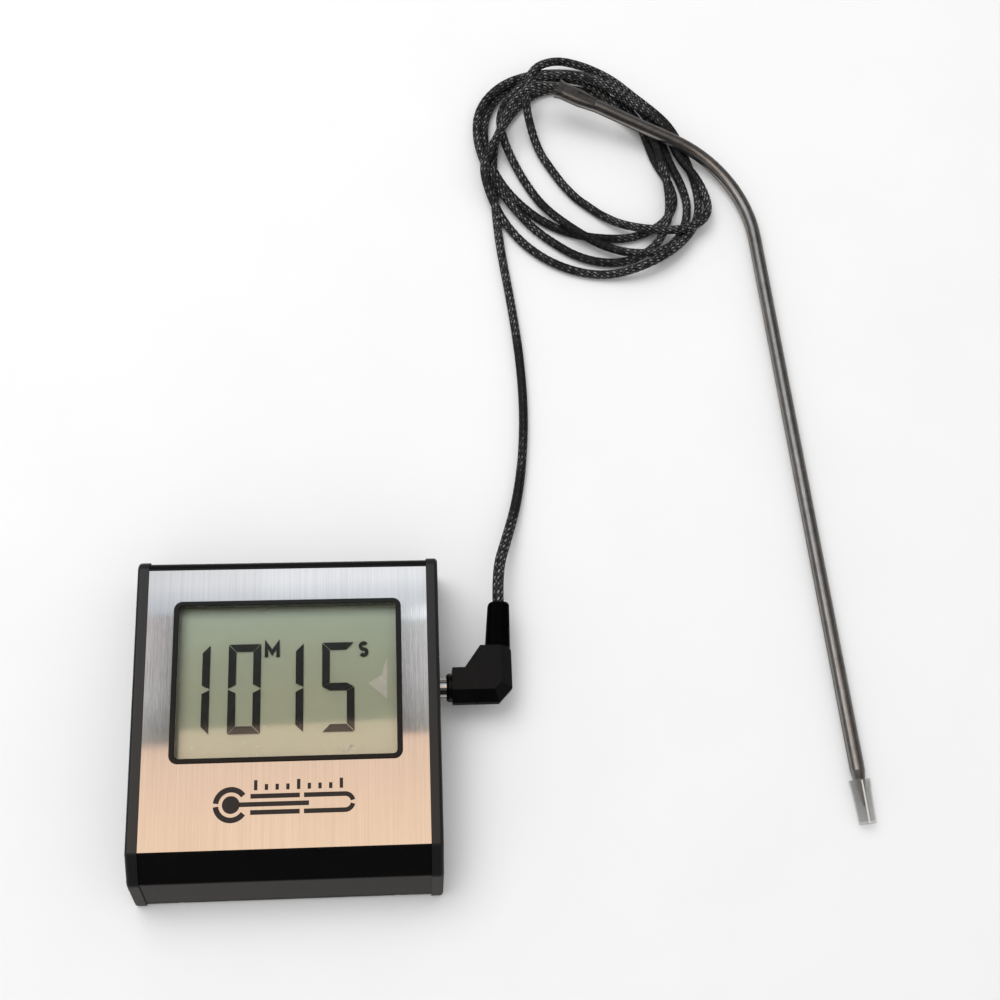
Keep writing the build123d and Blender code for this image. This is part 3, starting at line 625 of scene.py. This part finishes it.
def segment_outlines(left, foot, width, height):
    """The seven strokes of a digit: mitred where they meet, with a hair's gap between them."""
    wide, gap, half = SEGMENT_WIDTH, SEGMENT_GAP, SEGMENT_WIDTH / 2
    right, top, middle = left + width, foot + height, foot + height / 2

    def level(outer, inner):
        near, far = gap, wide + gap
        return [(left + near, outer), (right - near, outer), (right - far, inner), (left + far, inner)]

    def upright(outer, inner, corner, away):
        """away is +1 for the strokes over the middle and -1 for those under it."""
        ends = [corner - away * gap, corner - away * (wide + gap)]
        return [
            (outer, ends[0]),
            (outer, middle + away * gap),
            (inner, middle + away * (half + gap)),
            (inner, ends[1]),
        ]

    return {
        "a": level(top, top - wide),
        "b": upright(right, right - wide, top, 1),
        "c": upright(right, right - wide, foot, -1),
        "d": level(foot, foot + wide),
        "e": upright(left, left + wide, foot, -1),
        "f": upright(left, left + wide, top, 1),
        "g": [
            (left + gap, middle),
            (left + wide, middle + half),
            (right - wide, middle + half),
            (right - gap, middle),
            (right - wide, middle - half),
            (left + wide, middle - half),
        ],
    }


def add_prism(mesh, outline, low_z, high_z):
    """A flat closed piece with this outline, its points taken anticlockwise."""
    area = sum(a[0] * b[1] - b[0] * a[1] for a, b in zip(outline, outline[1:] + outline[:1]))
    if area < 0:
        outline = outline[::-1]
    low = [mesh.verts.new((x, y, low_z)) for x, y in outline]
    high = [mesh.verts.new((x, y, high_z)) for x, y in outline]
    mesh.faces.new(high)
    mesh.faces.new(list(reversed(low)))
    for i in range(len(outline)):
        j = (i + 1) % len(outline)
        mesh.faces.new((low[i], low[j], high[j], high[i]))


# A sharper corner than this keeps its mitre short.
MITRE_LIMIT = 0.35


def add_stroke(mesh, points, width, low_z, high_z):
    """A flat line of even width along points, joined with mitres."""
    sides = []
    for i, point in enumerate(points):
        here = Vector(point)
        back = (here - Vector(points[i - 1])).normalized() if i else None
        ahead = (Vector(points[i + 1]) - here).normalized() if i < len(points) - 1 else None
        back = back or ahead
        ahead = ahead or back
        middle = (back + ahead).normalized()
        across = Vector((-middle.y, middle.x)) * (width / 2 / max(MITRE_LIMIT, middle.dot(ahead)))
        sides.append((here + across, here - across))
    outline = [tuple(a) for a, _ in sides] + [tuple(b) for _, b in reversed(sides)]
    add_prism(mesh, outline, low_z, high_z)


def arc_points(centre, radius, start, stop, steps):
    """Points along an arc, its angles in degrees."""
    angles = [math.radians(start + (stop - start) * i / steps) for i in range(steps + 1)]
    return [(centre[0] + radius * math.cos(a), centre[1] + radius * math.sin(a)) for a in angles]


def minute_mark(left, foot, size):
    """The strokes of a block M."""
    right, top = left + size * 0.86, foot + size
    low_middle = ((left + right) / 2, foot + size * 0.35)
    return [[(left, foot), (left, top), low_middle, (right, top), (right, foot)]]


def second_mark(left, foot, size):
    """The stroke of a block S."""
    radius = size / 4
    x = left + size * 0.33
    upper = arc_points((x, foot + 3 * radius), radius, 30, 270, 9)
    lower = arc_points((x, foot + radius), radius, 90, -150, 9)
    return [upper + lower[1:]]


def make_digits():
    """The display's digits and small letters, in ink just over its glass."""
    low_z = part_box("lcd_cell")[1].z + INK_ABOVE_GLASS
    high_z = low_z + INK_THICK
    mesh = bmesh.new()
    for digit, right in DIGIT_RIGHTS:
        outlines = segment_outlines(right - DIGIT_WIDTH, DIGIT_FOOT, DIGIT_WIDTH, DIGIT_HEIGHT)
        for name in SEGMENTS_OF[digit]:
            add_prism(mesh, outlines[name], low_z, high_z)
    for stroke in minute_mark(*MINUTE_MARK) + second_mark(*SECOND_MARK):
        add_stroke(mesh, stroke, MARK_WIDTH, low_z, high_z)
    ink = dyed("lcd_ink", (0.006, 0.011, 0.007, 1.0), 0.5)
    digits = add_mesh("lcd_digits", mesh, ink)
    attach(digits, "unit")


# ---- Marks on the display: a pale triangle, a pale nick under it, and specks ----
MARK_THICK = 0.00003
# A pale triangle to the right of the digits.
PALE_TRIANGLE = [(0.0244, 0.0056), (0.0246, 0.0162), (0.0237, 0.0143), (0.0232, 0.0119), (0.0197, 0.0098)]
FILM_NICK = [
    (0.0122, -0.0052),
    (0.0129, -0.0051),
    (0.0142, -0.0067),
    (0.0156, -0.0052),
    (0.0163, -0.0053),
    (0.0141, -0.0073),
]
# The specks lie in two patches side by side along the window's lower edge, thickest at its bottom.
SPECK_COUNT = 22
SPECK_SEED = 7
SPECK_PATCHES = (-0.0250, 0.0)
SPECK_REACH = (-0.0010, 0.0240)
SPECK_LOW_Y = -0.0075
SPECK_RISE = 0.0100
SPECK_CROWDING = 1.6
SPECK_RADIUS = (0.00012, 0.00034)


def make_window_marks():
    """A pale triangle, a pale nick and specks on the inside of the window."""
    low_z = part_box("window_lens")[0].z - 2 * MARK_THICK
    mesh = bmesh.new()
    add_prism(mesh, PALE_TRIANGLE, low_z, low_z + MARK_THICK)
    add_prism(mesh, FILM_NICK, low_z, low_z + MARK_THICK)
    draw = random.Random(SPECK_SEED)
    for _ in range(SPECK_COUNT):
        x = draw.choice(SPECK_PATCHES) + draw.uniform(*SPECK_REACH)
        y = SPECK_LOW_Y + SPECK_RISE * draw.random() ** SPECK_CROWDING
        size = draw.uniform(*SPECK_RADIUS)
        turn = draw.uniform(0, 360)
        outline = [
            (x + size * draw.uniform(0.7, 1.6) * math.cos(math.radians(a + turn)),
             y + size * draw.uniform(0.5, 0.9) * math.sin(math.radians(a + turn)))
            for a in range(0, 360, 60)
        ]
        add_prism(mesh, outline, low_z, low_z + MARK_THICK)
    film = add_mesh("window_marks", mesh, dyed("marks_pale", (0.90, 0.86, 0.72, 1.0), 0.6))
    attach(film, "unit")


# ---- Printed pictogram under the window: a thermometer lying on its side, with a scale ----
PRINT_THICK = 0.00005
PRINT_Y = -0.0195
BULB_X = -0.0130
BULB_RING_RADIUS = 0.0036
BULB_DOT_RADIUS = 0.0021
RING_LINE = 0.0013
# The ring's upper half in degrees. Its lower half mirrors it.
RING_ARC = (36, 174)
TUBE_START_X = -0.00839
TUBE_END_X = 0.0160
TUBE_RADIUS = 0.0019
TUBE_LINE = 0.0011
# The tube's outline is broken at its middle and at its far end.
TUBE_BREAK = 0.0010
TUBE_END_ARC = (90, 12)
LIQUID_START_X = -0.01099
LIQUID_END_X = 0.0055
TICK_COUNT = 9
TICK_LINE = 0.0008
FIRST_TICK_X = -0.00719
LAST_TICK_X = 0.0132
TICK_GAP = 0.0014
# Every fourth tick is a long one.
LONG_TICK = 0.0024
SHORT_TICK = 0.0014


def make_pictogram():
    """Stencilled marks: bulb, broken outline of the tube, liquid line and ticks."""
    low_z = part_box("face_plate")[1].z
    high_z = low_z + PRINT_THICK
    mesh = bmesh.new()

    def line(points, width):
        add_stroke(mesh, points, width, low_z, high_z)

    bulb = (BULB_X, PRINT_Y)
    line(arc_points(bulb, BULB_RING_RADIUS, RING_ARC[0], RING_ARC[1], 24), RING_LINE)
    line(arc_points(bulb, BULB_RING_RADIUS, 360 - RING_ARC[1], 360 - RING_ARC[0], 24), RING_LINE)
    add_prism(mesh, arc_points(bulb, BULB_DOT_RADIUS, 0, 345, 23), low_z, high_z)
    line([(LIQUID_START_X, PRINT_Y), (LIQUID_END_X, PRINT_Y)], TUBE_LINE)
    middle = (TUBE_START_X + TUBE_END_X) / 2
    end_centre = (TUBE_END_X - TUBE_RADIUS, PRINT_Y)
    for side in (1, -1):
        edge = PRINT_Y + side * TUBE_RADIUS
        line([(TUBE_START_X, edge), (middle - TUBE_BREAK / 2, edge)], TUBE_LINE)
        end = arc_points(end_centre, TUBE_RADIUS, side * TUBE_END_ARC[0], side * TUBE_END_ARC[1], 8)
        line([(middle + TUBE_BREAK / 2, edge)] + end, TUBE_LINE)
    foot = PRINT_Y + TUBE_RADIUS + TICK_GAP
    for i in range(TICK_COUNT):
        x = FIRST_TICK_X + i * (LAST_TICK_X - FIRST_TICK_X) / (TICK_COUNT - 1)
        tall = LONG_TICK if i % 4 == 0 else SHORT_TICK
        line([(x, foot), (x, foot + tall)], TICK_LINE)
    marks = add_mesh("pictogram", mesh, dyed("print_black", (0.022, 0.014, 0.012, 1.0), 0.45))
    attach(marks, "unit")


# ---- Painted highlight along the fold on top of the flattened guard ----
PROBE_CORNER = Vector((0.1320, 0.1649, 0.0))
PROBE_POINT = Vector((0.1462, -0.0227, 0.0))
# How far back from the point the guard's mouth is.
GUARD_COVERS = 0.0068
GUARD_HIGHLIGHT_WIDTH = 0.00042
GUARD_HIGHLIGHT_THICK = 0.00006
# Distance from the mouth, and the height of the guard's top there.
GUARD_HIGHLIGHT_STATIONS = [(0.0003, 0.00374), (0.0030, 0.00369), (0.0112, 0.00341)]


def make_guard_highlight():
    """A pale line where the clear sleeve was pressed flat: a painted highlight that carries the steel's
    highlight on along the guard.
    """
    run = (PROBE_POINT - PROBE_CORNER).normalized()
    across = Vector((run.y, -run.x, 0.0)) * (GUARD_HIGHLIGHT_WIDTH / 2)
    mesh = bmesh.new()
    rings = []
    for distance, top in GUARD_HIGHLIGHT_STATIONS:
        middle = PROBE_POINT + run * (distance - GUARD_COVERS)
        low, high = Vector((0, 0, top - GUARD_HIGHLIGHT_THICK)), Vector((0, 0, top + GUARD_HIGHLIGHT_THICK / 2))
        left, right = middle - across, middle + across
        corners = (left + low, right + low, right + high, left + high)
        rings.append([mesh.verts.new(corner) for corner in corners])
    for ring, following in zip(rings, rings[1:]):
        for k in range(4):
            n = (k + 1) % 4
            mesh.faces.new((ring[k], following[k], following[n], ring[n]))
    mesh.faces.new(rings[0])
    mesh.faces.new(list(reversed(rings[-1])))
    bmesh.ops.recalc_face_normals(mesh, faces=mesh.faces)
    # The pale strip is a painted highlight.
    highlight_strip = add_mesh("guard_painted_highlight", mesh, dyed("painted_highlight_pale", grey(0.75, (1.0, 0.97, 0.92)), 0.3))
    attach(highlight_strip, "guard")


# ---- Floor and surroundings ----
FLOOR_REACH = 3.0
# Levels of the surroundings as the camera and as matt surfaces see them.
SEEN_LEVEL = 0.85
MATT_LEVEL = 0.70
# What glossy surfaces see, from straight down, 0, to straight up, 1.
SKY_BANDS = [
    (0.03, 0.04),
    (0.15, 0.60),
    (0.35, 0.42),
    (0.52, 0.07),
    (0.59, 0.24),
    (0.69, 0.24),
    (0.75, 0.04),
    (1.0, 0.08),
]
SKY_TINT = (1.0, 0.94, 0.90)
# A dark spot low on the near side, which is what the front bevel mirrors: its direction, the cosines
# of the angles where it starts and is darkest, and its level there.
DARK_SPOT = (0.0, -0.94, 0.34)
DARK_SPOT_EDGE = (0.84, 0.92)
DARK_SPOT_LEVEL = 0.05


def make_floor():
    """A pale floor that glossy surfaces don't see: the surroundings stand in for it there."""
    mesh = bmesh.new()
    bmesh.ops.create_grid(mesh, x_segments=2, y_segments=2, size=FLOOR_REACH)
    shade = Shade("floor", Roughness=0.7, Specular_IOR_Level=0.2)
    shade.drive("Base Color", shade.mix(shade.noise(shade.place(), 30.0), grey(0.86), grey(0.9)))
    floor = add_mesh("floor", mesh, shade.material)
    floor.visible_glossy = False


def make_surroundings():
    """Pale to the camera, soft to matt surfaces, and in glossy ones pale low down and darker higher up."""
    world = bpy.data.worlds.new("surroundings")
    world.use_nodes = True
    bpy.context.scene.world = world
    sky = Nodes(world.node_tree)
    rays = sky.add("LightPath").outputs
    direction = sky.add("TexCoord").outputs["Generated"]
    height = sky.span(sky.add("SeparateXYZ", direction).outputs["Z"], -1.0, 1.0)
    bands = sky.ramp(height, [(place, grey(level, SKY_TINT)) for place, level in SKY_BANDS])
    toward = sky.add("VectorMath", direction, DARK_SPOT, operation="DOT_PRODUCT").outputs["Value"]
    dimming = sky.span(toward, *DARK_SPOT_EDGE, 1.0, DARK_SPOT_LEVEL)
    dimmed = sky.add("VectorMath", bands, operation="SCALE")
    sky.put(dimmed.inputs["Scale"], dimming)
    around = sky.mix(rays["Is Glossy Ray"], grey(MATT_LEVEL), dimmed)
    around = sky.mix(rays["Is Camera Ray"], around, grey(SEEN_LEVEL))
    sky.put(sky.tree.nodes["Background"].inputs["Color"], around)


# ---- Light: one large soft lamp, and cards overhead that only show in glossy surfaces ----
LAMP_PLACE = Vector((-0.35, 0.55, 1.1))
LAMP_TARGET = Vector((0.05, 0.08, 0.0))
LAMP_SIZE = 0.9
LAMP_POWER = 8.5
# The cards' edges are measured from a pivot, and all of them are turned round it.
CARD_HEIGHT = 1.0
CARD_PIVOT = Vector((-0.078, 0.157, 0.0))
CARD_TURN = math.radians(1.56)

# Colours across a card, each with its place from 0 at one edge to 1 at the other.
EVEN = [(0.0, grey(1.0)), (1.0, grey(1.0))]
WARM = [(0.0, (1.26, 0.93, 0.66, 1.0)), (0.7, (1.22, 0.89, 0.64, 1.0)), (1.0, (1.08, 0.78, 0.60, 1.0))]
LEFT_SHADE = [
    (0.0, (0.42, 0.40, 0.37, 1.0)),
    (0.2, (0.53, 0.53, 0.52, 1.0)),
    (0.38, (0.70, 0.69, 0.69, 1.0)),
    (1.0, (0.76, 0.69, 0.69, 1.0)),
]
RIGHT_SHADE = [
    (0.0, (0.46, 0.43, 0.39, 1.0)),
    (0.2, (0.58, 0.57, 0.56, 1.0)),
    (0.45, (0.73, 0.71, 0.72, 1.0)),
    (1.0, (0.82, 0.82, 0.82, 1.0)),
]
OVER_GLASS = [(0.0, grey(0.05)), (0.5, grey(0.09)), (1.0, (0.26, 0.29, 0.31, 1.0))]
BRIGHT = [
    (0.0, (0.84, 0.88, 0.94, 1.0)),
    (0.09, (0.92, 0.96, 1.02, 1.0)),
    (0.2, (1.14, 1.16, 1.20, 1.0)),
    (1.0, (0.85, 0.87, 0.92, 1.0)),
]
BRIGHTER_RIGHT = [(0.0, grey(0.66)), (0.3, grey(0.78)), (0.6, grey(1.02)), (1.0, grey(0.98))]
CORNER = [(0.0, grey(1.15)), (1.0, grey(1.5))]
FADING = [(0.0, (0.95, 0.96, 0.98, 1.0)), (1.0, (0.45, 0.46, 0.48, 1.0))]
BRIGHTEST = [(0.0, (1.45, 1.44, 1.43, 1.0)), (1.0, (1.20, 1.21, 1.23, 1.0))]
DIM = [(0.0, (0.13, 0.12, 0.115, 1.0)), (1.0, (0.13, 0.13, 0.135, 1.0))]

# Each card's left, near, right and far edges, and its colours from near to far and from left to right.
CARDS = {
    "warm_card": ((-0.27, -0.28, 0.22, 0.0), WARM, EVEN),
    "left_card": ((-0.32, 0.0, -0.107, 0.126), LEFT_SHADE, EVEN),
    "glass_card": ((-0.107, 0.0, 0.108, 0.126), OVER_GLASS, EVEN),
    "right_card": ((0.108, 0.0, 0.22, 0.110), RIGHT_SHADE, EVEN),
    "corner_card": ((0.108, 0.110, 0.22, 0.126), BRIGHT, CORNER),
    "top_card": ((-0.32, 0.126, 0.22, 0.27), BRIGHT, BRIGHTER_RIGHT),
    "far_card": ((-0.90, 0.27, 0.22, 0.90), FADING, EVEN),
    "side_card": ((-0.90, -0.28, -0.32, 0.27), BRIGHTEST, EVEN),
    "dim_left_card": ((-2.40, -0.60, -0.90, 0.90), DIM, EVEN),
    "dim_right_card": ((0.22, -0.28, 0.90, 0.35), DIM, EVEN),
}


def add_card(name, edges, near_to_far, left_to_right):
    """A glowing panel overhead. Its colour at a place is its two bands of colour multiplied."""
    left, near, right, far = edges
    mesh = bmesh.new()
    bmesh.ops.create_grid(mesh, x_segments=1, y_segments=1, size=0.5)
    material = bpy.data.materials.new(name)
    material.use_nodes = True
    material.node_tree.nodes.clear()
    face = Nodes(material.node_tree)
    place = face.add("SeparateXYZ", face.add("TexCoord").outputs["Generated"]).outputs
    along, across = face.ramp(place["Y"], near_to_far), face.ramp(place["X"], left_to_right)
    glow = face.add("Emission", face.mix(1.0, along, across, blend_type="MULTIPLY"))
    face.add("OutputMaterial", glow)
    card = add_mesh(name, mesh, material)
    middle = Vector(((left + right) / 2, (near + far) / 2, CARD_HEIGHT))
    card.location = CARD_PIVOT + Matrix.Rotation(CARD_TURN, 3, "Z") @ middle
    card.rotation_euler = (0, 0, CARD_TURN)
    card.scale = (right - left, far - near, 1)
    card.visible_camera = False
    card.visible_diffuse = False
    card.visible_shadow = False
    card.visible_transmission = False


def make_light():
    light = bpy.data.lights.new("key", "AREA")
    light.shape = "SQUARE"
    light.size = LAMP_SIZE
    light.energy = LAMP_POWER
    lamp = bpy.data.objects.new("key", light)
    lamp.location = LAMP_PLACE
    lamp.rotation_euler = (LAMP_TARGET - LAMP_PLACE).to_track_quat("-Z", "Y").to_euler()
    lamp.visible_glossy = False
    bpy.context.scene.collection.objects.link(lamp)
    for name, (edges, near_to_far, left_to_right) in CARDS.items():
        add_card(name, edges, near_to_far, left_to_right)
    bpy.context.scene.view_settings.view_transform = "Standard"


make_camera()
make_cord()
paint_cad()
make_digits()
make_window_marks()
make_pictogram()
make_guard_highlight()
make_floor()
make_surroundings()
make_light()
